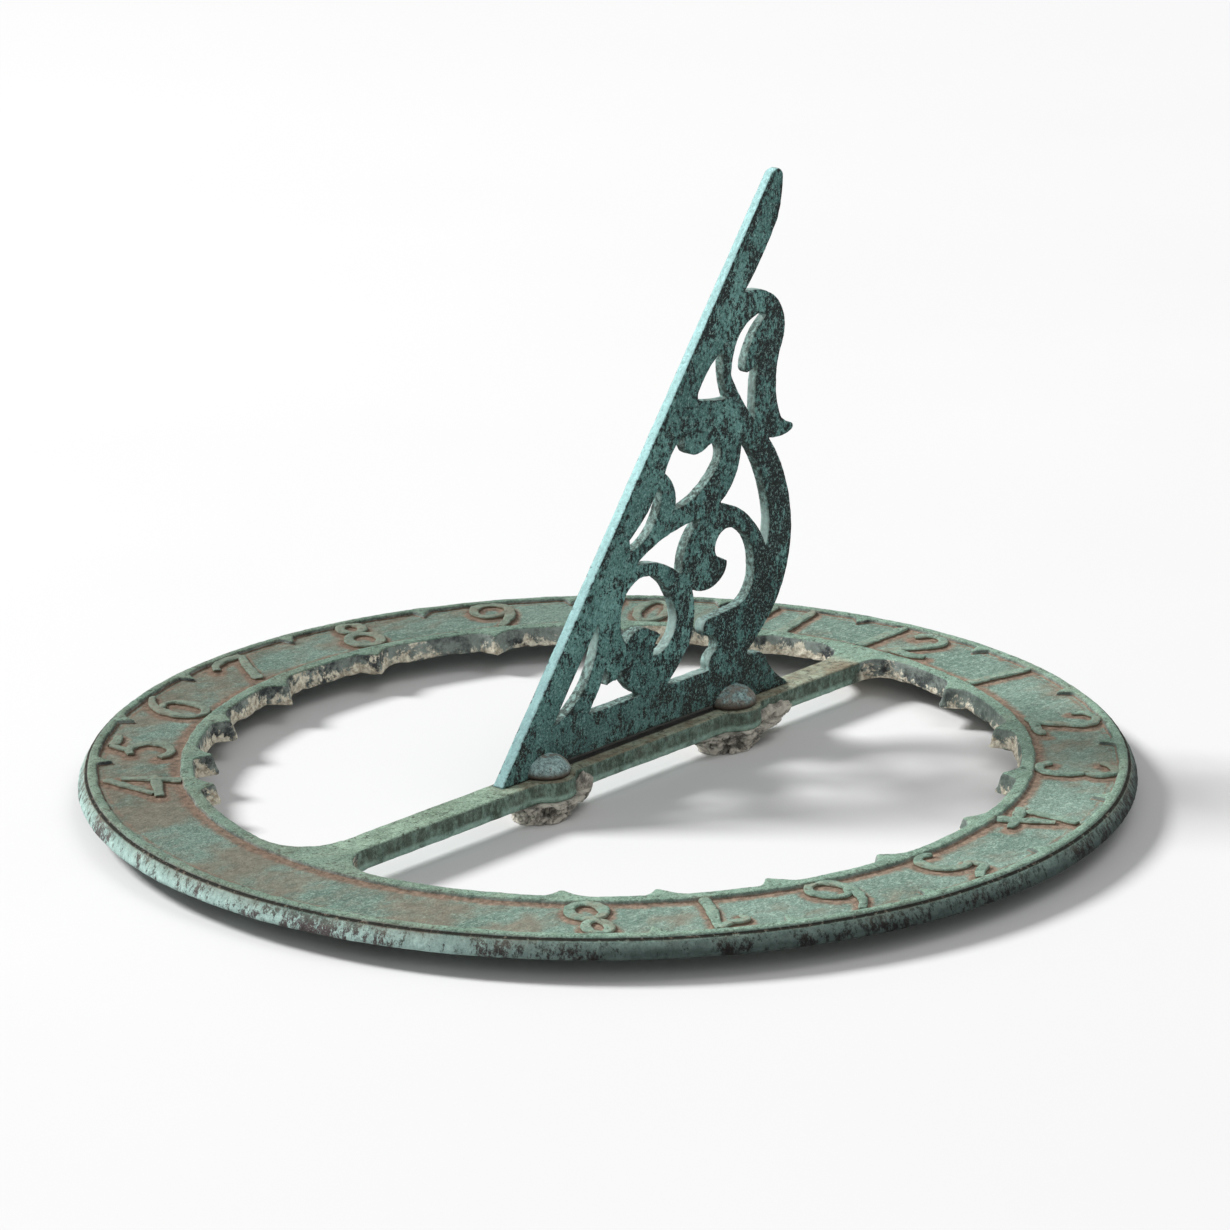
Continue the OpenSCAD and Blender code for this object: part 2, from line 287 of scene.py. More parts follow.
def spurAt(phi):
    return max(spikeHeight(phi, h - copysign(0.5, h), dial["lipIn"], dial["spur"]) for h in hours)


# dial plate: ring, cusps, spurs, bar and lugs as one mesh

barCuts = [0, 0.35, 0.9, 2.2, 4, 5.8, 7.25, 8.7, 10.5, 12.3, 13.6, 14.15, 14.5]  # across the bar
wallZ = [-8.5, -7.4, -6.2, -5, -3.8, -2.6, -1.6]  # levels on a wall, under the top
# from the lip's top outwards: radius, height under the top, how far in a corner, how far on the outer side
outerSide = [(218.6, 0, 0, 0), (219.2, -0.28, 0, 0), (219.5, -0.9, 0.3, 0.3), (219.8, -1.3, 1, 0.8),
             (220.4, -1.35, 0.6, 1), (221, -2.2, 0, 1), (221.8, -3.5, 0, 1), (222.5, -4.8, 0, 1),
             (223.1, -6.1, 0, 1), (223.5, -7.2, 0, 1), (223.65, -8, 0, 1), (223.1, -8.7, 0, 1),
             (222, -9, 0, 0.5)]


def filletArc(side, end):
    # the arc from the bar's edge to the opening as (x, y, share), and the point where it leaves the bar
    r = dial["fillets"][(side, end)]
    edge = barEdge if side > 0 else barWest
    cx = edge + side * r
    cy = end * sqrt((dial["openR"] - r) ** 2 - cx * cx)
    a0 = pi if side > 0 else 0
    turn = (atan2(cy, cx) - a0 + pi) % (2 * pi) - pi
    arc, steps = [], dial["filletSteps"]
    for i in range(1, steps + 1):
        a = a0 + turn * i / steps
        arc.append((cx + r * cos(a), cy + r * sin(a), i / steps))
    return arc, (edge, cy)


def cutLine(end):
    # the line across the bar where it joins the ring, from west to east
    west, east = (np.array(filletArc(side, end)[1]) for side in (-1, 1))
    return [tuple(west + (east - west) * (c / dial["barW"])) for c in barCuts]


def openingEdge(start, stop):
    # the edge of the opening between two bearings, finer at the cusps and spurs
    marks = []
    for h in hours:
        for back, r, reach, step in ((0, 168, 3.6, 0.22), (0.5, 212, 1.7, 0.12)):
            centre = copysign(bearing(abs(h) - back, r), h) % (2 * pi)
            marks.append((centre, radians(reach), radians(step)))
    phi, points = start, []
    while True:
        near = [fine for centre, reach, fine in marks if abs((phi - centre + pi) % (2 * pi) - pi) < reach]
        phi += min(near + [radians(0.42)])
        if phi >= stop - 1e-6:
            return points
        r = dial["openR"] - cuspAt(phi) + 0.35 * wander(sin(phi) * 175, cos(phi) * 175, 0, 9, 2)
        points.append((r * sin(phi), r * cos(phi), 1))


def ringColumns():
    # where each column of the ring's mesh starts, clockwise from the bar's north end: x, y and 0 on the bar
    cols = []
    for end in (1, -1):
        cols += [(x, y, 0) for x, y in cutLine(end)[::end]]
        cols += filletArc(end, end)[0]
        meet = filletArc(end, -end)[0][::-1]
        start, stop = [atan2(p[0], p[1]) % (2 * pi) for p in (cols[-1], meet[0])]
        cols += openingEdge(start, stop) + meet
    return cols


def edgeDrop(d):
    return np.interp(d, dial["edgeSteps"], dial["edgeDrops"])


def ringMesh():
    cols = ringColumns()
    thick, depth = dial["thick"], dial["bandDepth"]
    rows, marks = [], []
    for x, y, t in cols:
        phi = atan2(x, y)
        rb = hypot(x, y)
        lip = dial["lipIn"] - spurAt(phi) + 0.5 * wander(x, y, 0, 7, 5) + 0.3 * wander(x, y, 0, 2.4, 6)
        rim = dial["rimOut"] + 0.6 * wander(x, y, 5, 8, 7) + 0.3 * wander(x, y, 5, 2.6, 8)
        drop, under, free = dial["edgeDrops"], dial["underDrops"], smooth(0, 1, t)
        if t == 0:
            soft = edgeDrop(min(x - barWest, barEdge - x))
            drop, under, free = (soft, soft * 0.3, 0), (soft * 0.625, soft * 0.2), 0
        lean = (dial["draft"] + dial["cuspDraft"] * min(1, cuspAt(phi) / 3)) * free
        lift = free * max(0, 1.5 * wander(x, y, 0, 3.4, 11) + 1.9 * wander(x, y, 0, 10, 12))
        col, tag = [], []

        def put(r, z, corner=0, outer=0):
            col.append((r * sin(phi), r * cos(phi), topZ + z))
            tag.append((corner, outer))

        for off, dz in zip(dial["edgeSteps"], drop):
            put(rb + off, -dz)
        for k in (0.25, 0.5, 0.75, 1):
            put(rb + 0.9 + (rim - rb - 0.9) * k, 0)
        for off, dz, corner in ((0.4, 0.3, 0), (0.75, 1.15, 0.6), (1.15, depth + 0.05, 1)):
            put(rim + off, -dz, corner)
        r0, r1 = rim + 1.15, lip - 1.1
        for k in range(1, 20):
            f = k / 19
            put(r0 + (r1 - r0) * f, -depth + 0.1 * sin(pi * f))
        for off, dz, corner in ((-0.5, depth, 1), (-0.15, 1, 0.6), (0.15, 0.3, 0), (0.6, 0, 0)):
            put(lip + off, -dz, corner)
        put((lip + 0.6 + outerSide[0][0]) / 2, 0.06)
        for spot in outerSide:
            put(*spot)
        foot, rub = outerSide[-1][0], rb - lean
        for k in (0.3, 0.6, 0.9, 0.97, 1):
            put(foot + (rub + 0.9 - foot) * k, -thick + (0.55 * lift if k == 1 else 0))
        put(rub + 0.35, -thick + under[1] + 0.9 * lift)
        put(rub, -thick + under[0] + lift)
        for z in wallZ[1:]:
            low = smooth(-3.5, -8, z)
            chip = free * (1.5 * wander(x, y, z, 4.5, 14) + 0.8 * wander(x, y, z, 1.8, 15)) * low
            put(rb - lean * (-z / thick) + max(-0.7, chip), z + lift * low * 0.6)
        rows.append(col)
        marks.append(tag)
    n, m = len(rows), len(rows[0])
    faces = []
    firstWall = m - len(wallZ)  # the bar's own mesh closes the ring's wall where they join
    for j in range(n):
        k = (j + 1) % n
        inBar = cols[j][2] == cols[k][2] == 0
        for i in range(firstWall if inBar else m):
            nxt = (i + 1) % m
            faces.append((j * m + i, j * m + nxt, k * m + nxt, k * m + i))
    return [p for col in rows for p in col], [t for col in marks for t in col], faces


def barEast(y):
    x, r, f = barEdge, dial["lugR"], dial["lugFillet"]
    reach = barEdge + f - dial["faceX"]
    rise = sqrt((r + f) ** 2 - reach * reach)
    for y0 in dial["bosses"]:
        d = abs(y - y0)
        if d < rise * r / (r + f):
            x = max(x, dial["faceX"] + sqrt(r * r - d * d))
        elif d < rise:
            x = max(x, dial["faceX"] + reach - sqrt(f * f - (d - rise) ** 2))
    return x


def crossLine(y):
    # the cuts at y, with the rounded edges kept and the middle spread over the lug
    width, soft = dial["barW"], dial["edgeSteps"][-1]
    wide = barEast(y) - barWest
    points = []
    for c in barCuts:
        if c >= width - soft:
            c = wide - (width - c)
        elif c > soft:
            c = soft + (c - soft) * (wide - 2 * soft) / (width - 2 * soft)
        points.append((barWest + c, y))
    return points


def barMesh():
    lines, y, last = [cutLine(-1)], -160, cutLine(1)
    y0, y1 = max(p[1] for p in lines[0]), min(p[1] for p in last)
    while y < y1 - 1:
        if y > y0 + 1:
            lines.append(crossLine(y))
        y += 0.8 if any(abs(y - b) < 15 for b in dial["bosses"]) else 2.5
    lines.append(last)
    verts, rings = [], []
    drops = [edgeDrop(min(c, dial["barW"] - c)) for c in barCuts]
    for k, line in enumerate(lines):
        section = [(*p, -drop) for p, drop in zip(line, drops)]
        section += [(*line[-1], z) for z in wallZ[::-1]]
        section += [(*line[i], -dial["thick"] + drops[i] * 0.625) for i in range(len(line) - 2, 0, -1)]
        section += [(*line[0], z) for z in wallZ]
        rings.append([len(verts) + i for i in range(len(section))])
        for x, y, z in section:
            onWall = (x, y) in (line[0], line[-1])
            if onWall and z < -4 and 0 < k < len(lines) - 1:
                low = smooth(-4, -8.5, z)
                z += low * max(0, 1.6 * wander(x, y, 0, 2.4, 21))
                x += low * (0.9 * wander(x, y, z, 2.2, 22) - 0.15) * (1 if x > dial["barX"] else -1)
            verts.append((x, y, topZ + z))
    faces = [face for a, b in zip(rings[:-1], rings[1:]) for face in quads(a, b)]
    return verts, faces


# numerals: strokes of each figure, as (u, v, width) along the hour line

def bowl(cu, cv, ru, rv, width, heavy=0.35, n=14):
    # a closed oval stroke, heavier at its sides
    return [(cu + ru * cos(a), cv + rv * sin(a), width * (1 + heavy * abs(cos(a)) - heavy / 2))
            for a in (2 * pi * i / n for i in range(n))] + ["closed"]


def one(u):
    return [(u - 1.2, 16.8, 2.4), (u, 15.5, 3.4), (u, 0, 3.9), (u - 0.1, -16.8, 4)]


# hours counted from noon, west negative; u runs clockwise and v outwards from the middle of the band
hourFigures = {
    0: [one(-11.5), [(0, 9, 3.2), (3.5, 14.6, 2.8), (10, 15.4, 3), (15, 10.5, 3.6), (15, 5, 3.8),
        (11, -2, 3.2), (5.5, -9, 2.6), (3, -12.5, 2.4)], [(1, -13.6, 2.8), (8, -12.2, 3.4),
        (15, -12.6, 3.4), (21.5, -10.6, 2.6)]],
    1: [one(-0.5)],
    2: [[(-8, 9, 3.4), (-4.5, 14, 2.8), (2, 15.6, 2.8), (7.6, 12, 3.6), (8.6, 6, 4), (4.8, -1.5, 3.4),
        (0, -8.5, 2.8), (-3.5, -12.4, 2.4)], [(-8.6, -11.8, 2.8), (-1, -12, 3.6), (6.5, -14.2, 3.6),
        (14, -14.6, 2.6)]],
    3: [[(-8.5, 12.6, 3.2), (-3, 16.2, 2.8), (3.5, 15.6, 3.2), (7, 10.6, 3.8), (5, 5.4, 3.2),
        (0, 3.4, 2.6)], [(0, 3.4, 2.6), (3.2, 1, 3.4), (3.2, -5, 4), (0.8, -11, 3.6), (-4, -14.6, 3),
        (-9.4, -13, 3.2), (-11.6, -8.6, 3.6)]],
    4: [[(-1, 16, 3), (-7, 6, 3.2), (-13, -5.4, 3.3)], [(-16, -8.4, 4), (-8, -8.6, 4.3), (2, -9.6, 3.4),
        (8, -11, 2.2)], [(-1, 7, 3.4), (-1.5, -4, 4), (-1.5, -17, 4.2)]],
    5: [[(-7.4, 12.4, 3), (-1, 12.6, 3.6), (6, 15, 3.2)], [(-7.4, 12.4, 2.6), (-9, 4, 2.6)], [(-9, 4, 2.6),
        (-4, 5, 3.2), (1.4, 1, 3.8), (3.4, -6, 4), (0.6, -13, 3.5), (-5, -15.5, 2.9), (-10, -12.4, 3.2)]],
    6: [[(1, 17, 2.4), (-6, 12, 3), (-12, 4, 3.5), (-14.6, -4, 3.9), (-12.6, -12, 3.5), (-7, -15.5, 3),
        (-1, -11.6, 3.5), (0, -5, 3.7), (-3, 1, 2.9), (-8, 2.4, 2.5), (-12.6, -2, 2.6)]],
    7: [[(-13, 8.6, 2.4), (-12, 14, 3.1), (-5, 13.4, 3.4), (2, 16, 3.1)], [(2, 16, 2.8), (-2, 7, 3.3),
        (-6.5, -3, 3.7), (-10.4, -14.6, 3.9)]],
    8: [bowl(-3, 10.4, 4.6, 6.6, 3), bowl(-3.4, -7.4, 6.8, 8.6, 3.4)],
    -8: [[(1, 15.4, 2.9), (-5, 5, 3.1), (-12.6, -9, 3)], [(-15.6, -12, 3.4), (-6, -9, 3.7), (3, -6, 3.5),
        (9, -4, 2.5)], [(4, 9, 3.3), (4.5, -3, 3.9), (5, -16.6, 4.1)]],
    -7: [[(-5, 13, 3.1), (1, 13.5, 3.5), (8, 16.4, 3.1)], [(-5, 13, 2.6), (-7.4, 3, 2.7)],
        [(-11.6, -0.4, 2.4), (-7, 3, 2.9), (-1, 3.4, 3.3), (4, -0.6, 3.7), (5, -7, 3.9), (1, -13, 3.3),
        (-5, -15, 2.9), (-10, -13.4, 3.1)]],
    -6: [[(2, 17.4, 2.3), (-3, 13, 2.9), (-8, 5, 3.5), (-9.4, -4, 3.9), (-7, -12.4, 3.3), (-1, -16, 2.7),
        (5, -12, 3.5), (6.4, -4, 3.7), (4, 4.4, 2.9), (-1, 7, 2.5), (-6.4, 3.4, 2.5)]],
    -5: [[(-14.6, 4.4, 2.5), (-12, 10.4, 3.1), (-5, 14.6, 3.3), (4, 16.6, 3.1)], [(4, 16.6, 2.9),
        (1, 8, 3.3), (-1.6, -2, 3.7), (-4.5, -15.4, 3.9)]],
    -4: [bowl(-2, 10.8, 5, 6.2, 3), bowl(0.4, -6, 7.2, 8.4, 3.4)],
    -3: [[(4.6, 5.4, 3), (1, 0, 2.7), (-5, -1.4, 2.7), (-9.4, 3.4, 3.3), (-9.8, 10, 3.7), (-6, 15.4, 3.1),
        (0, 16.4, 2.9), (5, 12.4, 3.5), (6.4, 4, 3.9), (5.8, -5, 3.7), (2.4, -15, 2.7)]],
    -2: [one(-13.5), bowl(6, 0.6, 6.6, 14.4, 3.1)],
    -1: [one(-10), one(9)],
}


def spline(points, closed, step=0.9):
    # smooth path through the points, sampled evenly enough
    pts = np.array(points, float)
    if closed:
        pts = np.concatenate([pts[-1:], pts, pts[:2]])
    else:
        pts = np.concatenate([[2 * pts[0] - pts[1]], pts, [2 * pts[-1] - pts[-2]]])
    out = []
    for p0, p1, p2, p3 in zip(pts, pts[1:], pts[2:], pts[3:]):
        k = max(2, int(np.linalg.norm((p2 - p1)[:2]) / step))
        for t in np.arange(k) / k:
            out.append(0.5 * (2 * p1 + (p2 - p0) * t + (2 * p0 - 5 * p1 + 4 * p2 - p3) * t * t
                              + (3 * p1 - p0 - 3 * p2 + p3) * t ** 3))
    return np.array(out if closed else out + [pts[-2]])


figureR = 198  # the circle through the middles of all figures
strokes = []
for hour, parts in hourFigures.items():
    a = lineAngle(hour)
    up = np.array([sin(a), cos(a)])
    right = np.array([up[1], -up[0]])
    o = np.array([0, -dial["hourOrigin"]])
    along = -(o @ up)
    centre = o + up * (along + sqrt(figureR ** 2 - o @ o + along ** 2))
    for part in parts:
        closed = part[-1] == "closed"
        path = spline(part[:-1] if closed else part, closed)
        place = centre + path[:, :1] * right + path[:, 1:2] * up
        strokes.append((np.c_[place, path[:, 2]], closed))

ring, ringTags, ringFaces = ringMesh()
bar, barFaces = barMesh()
verts = np.array(ring + bar)
tags = np.concatenate([ringTags, np.zeros((len(bar), 2))])
# brown lies on the side of every figure turned from the key light, partly rust and partly painted shade, and
# rust lies in the band's two corners
samples = np.concatenate([s[0] for s in strokes]) + np.array([1.5, -1.6, 0])
radius = np.hypot(verts[:, 0], verts[:, 1])
onBand = np.where((verts[:, 2] > topZ - 2.2) & (radius > 180) & (radius < 216))[0]
shaded = 1 - smooth(-0.4, 6, nearest(verts[onBand, :2], samples[:, :2], samples[:, 2] / 2))
radius = radius[onBand]
corners = np.maximum(1 - smooth(181.2, 189, radius), 0.8 * smooth(210.5, 214, radius))
corners[(radius <= 181) | (radius >= 214)] = 0
tags[onBand, 0] = np.maximum.reduce([tags[onBand, 0], shaded, corners])
faces = ringFaces + [tuple(i + len(ring) for i in f) for f in barFaces]
dialPiece = makeMesh("dialCasting", verts, faces, {"rustAndShade": tags[:, 0], "outer": tags[:, 1]})
outwards(dialPiece)
print("dial mesh", len(dialPiece.data.polygons))


# gnomon: outlines as [y from the toe, height, bulge of the arc to the next], mm

gnomon = {"toe": 64.5, "plateX": -4, "thick": 5.8, "topThick": 4.4, "height": 231.5, "gridStep": 1.75,
          "edgeSteps": (0, 0.28, 0.7), "edgeDrops": (0.62, 0.16, 0),
          "bossR": 10.8, "bossEdge": 1.5, "bossDome": 7, "bossColumns": 29}
plateEdge = [
    [0, 0, 0], [31.9, 0, 0], [31.9, 2, 0], [141.1, 2, 0], [141.1, 0, 0], [183.5, 0, 0], [183.5, 1.5, -1.4],
    [170, 15, 1], [164, 19, 0], [158, 19.5, -0.8], [158.5, 21.3, 0], [167, 28.5, 5.2], [187.5, 71, 3.6],
    [173, 113.5, 1.2], [187.5, 114, 1.2], [187.5, 117.5, -0.4], [181, 121.3, -3.9], [181.5, 154, 5.4],
    [173.5, 178.3, 1.2], [157.2, 181.7, 1], [179, 210, 0.7], [182.5, 228, 1], [179, 231.5, 0.4],
    [174.8, 230.3, 0]]
plateHoles = [
    [[32.5, 19.3, 8.2], [61, 56.3, 0.3]],
    [[54.5, 18.8, 0], [87.5, 18.8, -1.6], [75.7, 30.5, 0.2], [75.3, 32.8, 0], [72, 29, 0.4],
     [66.5, 28.3, 0.4], [67, 33, 0], [65.5, 35.8, 0.3], [62.2, 29, 0]],
    [[95.8, 34, 4], [110.7, 47, 2.5], [99.5, 67.5, 4.1], [79, 65, 1.6], [76, 49.5, 0.3], [78.7, 44, -3.1],
     [94.5, 46.3, -0.3], [101.3, 42.3, 1.5]],
    [[104.5, 18.8, 0], [132, 18.8, -1.9], [136.8, 26.8, 1.8], [134, 33.6, 0], [131, 34, -3],
     [131.5, 42, 0.3], [146.5, 43.2, 5.7], [162, 59.5, 4.5], [147.5, 79, 3], [136.7, 72, 0.5],
     [138.3, 68.5, 0], [144.5, 65.3, -1.7], [138, 56.5, -2], [121.7, 57.3, -2.5], [119, 33, -0.4]],
    [[170.3, 66, 0.5], [172.3, 77, 3.6], [154.3, 118.5, -4.3], [140.8, 92.2, 0], [140.8, 91.5, -4.8]],
    [[111, 95.8, 3.5], [139.5, 110.5, 2], [137, 119.8, 0], [132.5, 118.6, -2.3], [118.3, 119.2, -0.9],
     [117, 125.8, 0.3], [116, 126.3, 1.5], [104.8, 113, -2.9]],
    [[82, 84, 5.4], [102, 105.5, 0.4], [100.3, 107.3, -1.5], [81.7, 88.7, 0]],
    [[87, 76.6, -2.7], [113.8, 66.5, 0.3], [114.8, 67.3, -3], [127, 87.5, 2.7], [87, 77.6, 0.2]],
    [[126.8, 140.3, 0.5], [145.2, 137.5, -1.4], [142.5, 157.5, 0.3], [141, 158.3, 1.3], [126.3, 143, 0.3]],
    [[163, 124.2, -0.3], [163.7, 141.5, 0], [165.3, 147.8, 0], [164.3, 148.4, -0.6], [158.3, 145.6, -0.6],
     [156.7, 149, -2.3], [170.5, 168.5, 0.3], [168.5, 170.3, 3], [150.5, 158.5, 0.5], [148, 146.8, 0.8]]]


def leftward(loop):
    # unit vectors to the left of a closed line
    t = np.roll(loop, -1, 0) - np.roll(loop, 1, 0)
    t /= np.linalg.norm(t, axis=1)[:, None]
    return np.c_[-t[:, 1], t[:, 0]]


def outlinePoints(corners, step, rag, seed):
    # arcs through the corners, evenly sampled, then worn a little towards the metal
    pts = []
    for i, (ay, az, bulge) in enumerate(corners):
        by, bz, _ = corners[(i + 1) % len(corners)]
        a, b = np.array([ay, az], float), np.array([by, bz], float)
        length = np.linalg.norm(b - a)
        if bulge == 0:
            k = max(1, round(length / step))
            pts += [a + (b - a) * t / k for t in range(k)]
            continue
        half = 2 * atan(2 * abs(bulge) / length)
        radius = length / 2 / sin(half)
        k = max(2, round(2 * half * radius / step))
        along = (b - a) / length
        right = np.array([along[1], -along[0]])
        for t in range(k):
            turn = -half + 2 * half * t / k
            pts.append((a + b) / 2 + along * radius * sin(turn)
                       + right * copysign(1, bulge) * radius * (cos(turn) - cos(half)))
    pts = np.array(pts)
    area = 0.5 * np.sum(pts[:, 0] * np.roll(pts[:, 1], -1) - np.roll(pts[:, 0], -1) * pts[:, 1])
    left = leftward(pts) * copysign(1, area)
    inward = left if seed == 0 else -left
    worn = [0.5 + 0.5 * wander(*p, 0, 5, seed + 1) + 0.35 * wander(*p, 0, 1.6, seed + 4) for p in pts]
    amount = rag * np.clip(worn, 0, None) * (pts[:, 1] > 0.8)
    return pts + inward * amount[:, None]


def insideLoop(points, loop):
    x, y = points[:, 0], points[:, 1]
    hit = np.zeros(len(points), bool)
    for a, b in zip(loop, np.roll(loop, -1, 0)):
        cross = (a[1] > y) != (b[1] > y)
        if cross.any():
            at = (b[0] - a[0]) * (y - a[1]) / (b[1] - a[1]) + a[0]
            hit ^= cross & (x < at)
    return hit


def inMetal(points, loops):
    # inside the outline and in none of the piercings
    keep = insideLoop(points, loops[0])
    for hole in loops[1:]:
        keep &= ~insideLoop(points, hole)
    return keep


def plateTriangles(loops):
    # the flat plate's points, triangles, distances to an edge, and the points along each edge
    rim = np.concatenate(loops)
    fine = np.concatenate([(l + (np.roll(l, -1, 0) - l) * f) for l in loops for f in (0, 0.33, 0.66)])
    rows = []
    for l in loops:
        for side in (1, -1):
            for off in gnomon["edgeSteps"][1:]:
                pts = l + side * off * leftward(l)
                pts = pts[inMetal(pts, loops)]
                rows.append(pts[nearest(pts, fine) > off * 0.9])
    step = gnomon["gridStep"]
    gy, gz = np.meshgrid(np.arange(0, 190, step), np.arange(0, 233, step * 0.87))
    gy = gy + (np.arange(gy.shape[0])[:, None] % 2) * step / 2
    grid = np.c_[gy.ravel(), gz.ravel()]
    grid = grid[inMetal(grid, loops)]
    grid = grid[nearest(grid, fine) > 1.35]
    spans = np.split(np.arange(len(rim)), np.cumsum([len(l) for l in loops])[:-1])
    edges = [(int(a), int(b)) for span in spans for a, b in zip(span, np.roll(span, -1))]
    pts = np.concatenate([rim] + rows + [grid])
    out, _, tris, origin, _, _ = delaunay_2d_cdt([Vector(p) for p in pts], edges, [], 0, 1e-5)
    out, tris = np.array([tuple(p) for p in out]), np.array(tris)
    first = {s: i for i, sources in enumerate(origin) for s in sources}
    rims = [[first[i] for i in span] for span in spans]
    return out, tris[inMetal(out[tris].mean(1), loops)], nearest(out, fine), rims


def gnomonMesh():
    loops = [outlinePoints(plateEdge, 0.85, 0.32, 0)]
    loops += [outlinePoints(h, 0.8, 0.3, 10 + i) for i, h in enumerate(plateHoles)]
    out, tris, dist, rims = plateTriangles(loops)
    half = (gnomon["thick"] + (gnomon["topThick"] - gnomon["thick"]) * out[:, 1] / gnomon["height"]) / 2
    drop = np.interp(dist, gnomon["edgeSteps"], gnomon["edgeDrops"])
    drop[out[:, 1] < 0.4] = 0
    high = half - drop
    n = len(out)
    verts = []
    for side in (1, -1):
        verts += [(gnomon["plateX"] + side * h, p[0] - gnomon["toe"], topZ + p[1]) for p, h in zip(out, high)]
    depth = list(dist) * 2
    faces = [tuple(t) for t in tris] + [tuple(n + i for i in t[::-1]) for t in tris]
    for rim in rims:
        columns = []
        for i in rim:
            column = [i]
            for k in (0.6, 0.2, -0.2, -0.6):
                column.append(len(verts))
                verts.append((gnomon["plateX"] + high[i] * k, *verts[i][1:]))
                depth.append(0)
            columns.append(column + [n + i])
        for a, b in zip(columns, columns[1:] + columns[:1]):
            faces += [(a[k], a[k + 1], b[k + 1], b[k]) for k in range(len(a) - 1)]
    boss = [0] * len(verts)
    for y0 in dial["bosses"]:
        spots, bossFaces = bossMesh(y0, len(verts))
        verts += spots
        faces += bossFaces
        depth += [1.5] * len(spots)
        boss += [1] * len(spots)
    return verts, faces, depth, boss


def bossMesh(y0, base):
    # a half-round boss with a domed top against the plate's east face
    profile = [(0.93, 0), (0.93, 0.45), (0.985, 0.75), (1, 1.15), (0.998, 1.6)]
    profile += [(cos(a), gnomon["bossEdge"] + gnomon["bossDome"] * sin(a))
                for a in (radians(6 + 84 * i / 11) for i in range(12))]
    spots, rings, cols = [], [], gnomon["bossColumns"]
    for k, h in profile:
        r = gnomon["bossR"] * k
        rings.append([base + len(spots) + j for j in range(cols)])
        for j in range(cols):
            t = radians(min(90, max(-90, -90 + 180 * (j - 1) / (cols - 3))))
            x = dial["faceX"] - 1.5 if j in (0, cols - 1) else dial["faceX"] + r * cos(t)
            spots.append((x, y0 + r * sin(t), topZ + h))
    faces = [face for a, b in zip(rings[:-1], rings[1:]) for face in quads(a, b)]
    return spots, faces + [tuple(rings[0][::-1])]


verts, faces, depth, boss = gnomonMesh()
rimNear = 1 - smooth(0, 1.1, np.array(depth))
gnomonPiece = makeMesh("gnomonCasting", verts, faces, {"rimNear": rimNear, "boss": boss})
outwards(gnomonPiece)
print("gnomon mesh", len(gnomonPiece.data.polygons))


# numerals in relief

def strokeGroup():
    group, n, given = newGroup("figureStroke", ("Height", "Squareness", "WearScale"), ("Sides",))
    circle = n.out("GeometryNodeCurvePrimitiveCircle", {"Resolution": given["Sides"], "Radius": 1})
    sweep = {"Curve": given["Geometry"], "Profile Curve": circle, "Scale": n.out("GeometryNodeInputRadius")}
    tube = n.out("GeometryNodeCurveToMesh", {**sweep, "Fill Caps": True})
    # flattens the tube into low relief with a rounded back, standing on the band
    place = n.out("GeometryNodeInputPosition")
    x, y, z = n.split(place)
    worn = n.band(n.noise(place, given["WearScale"], 3, 0.65, 2), 0.36, 0.56, 0.62, 1, "LINEAR")
    lift = n.math("TANH", z * given["Squareness"]) * (worn * given["Height"])
    flat = n.out("ShaderNodeCombineXYZ", {"X": x, "Y": y, "Z": lift})
    endGroup(n, given, n.add("GeometryNodeSetPosition", {"Geometry": tube, "Position": flat}))
    return group


def strokeCurve(name):
    data = bpy.data.curves.new(name, "CURVE")
    data.dimensions = "3D"
    for path, closed in strokes:
        line = data.splines.new("POLY")
        line.points.add(len(path) - 1)
        line.use_cyclic_u = closed
        for i, (point, (x, y, w)) in enumerate(zip(line.points, path)):
            end = 1 if closed else min(1, (min(i, len(path) - 1 - i) + 1.2) / 2.4)
            uneven = 1 + 0.3 * wander(x, y, 0, 4, 9) + 0.12 * wander(x, y, 0, 1.5, 10)
            point.co = (x * mm, y * mm, 0, 1)
            point.radius = w * 0.66 * mm * (0.55 + 0.45 * end) * uneven
    return addObject(name, data)


figureGroup = strokeGroup()


# lumps under the bar

# in mm: where the lump stands, its length at the top and foot, how far the foot lies back, and the smear's
# middle and half sizes
lumps = {"bedding_front": {"y": -38, "top": 46, "foot": 25, "back": 5.5, "seed": 3,
                           "smear": (5.9, -22, 9.6, 2.9, 6.6, 6.9)},
         "bedding_rear": {"y": 82, "top": 64, "foot": 30, "back": 5, "seed": 8,
                          "smear": (5.9, 100, 9.2, 2.9, 14.5, 5.4)}}
lumpX = 0.5
lumpTop = 8.45  # just under the lug
smearLow, smearHigh = 1.2, 16.8


def facet(x, y, z, size, seed):
    # one value per broken face
    cell = noise.voronoi(Vector((x / size + seed, y / size - seed, z / size + seed)))[1][0]
    return noise.noise(cell * 3.7 + Vector((seed, 0.3, 0.6)))


class Rock:
    # points, faces and surface values of one lump, built ring by ring
    def __init__(self):
        self.verts, self.faces, self.crack, self.tone = [], [], [], []

    def add(self, point, crack=0, tone=0.4):
        self.verts.append(tuple(point))
        self.crack.append(crack)
        self.tone.append(tone)
        return len(self.verts) - 1

    def wind(self, levels, around, spot):
        # rings of points, joined and capped at both ends; spot gives a point, the painted shade of a crack
        # there, and a tone that is light on bulges and dark in hollows as painted light and shade
        turns = [2 * pi * i / around for i in range(around)]
        rings = [[self.add(*spot(level, a)) for a in turns] for level in levels]
        for a, b in zip(rings[:-1], rings[1:]):
            self.faces += quads(a, b)
        for outer in (rings[0], rings[-1]):
            mid = np.mean([self.verts[i] for i in outer], 0)
            last = outer
            for f in (0.8, 0.55, 0.3):
                ring = [self.add(mid + (np.array(self.verts[i]) - mid) * f) for i in outer]
                self.faces += quads(last, ring)
                last = ring
            tip = self.add(mid)
            self.faces += [(a, b, tip) for a, b in zip(last, last[1:] + last[:1])]


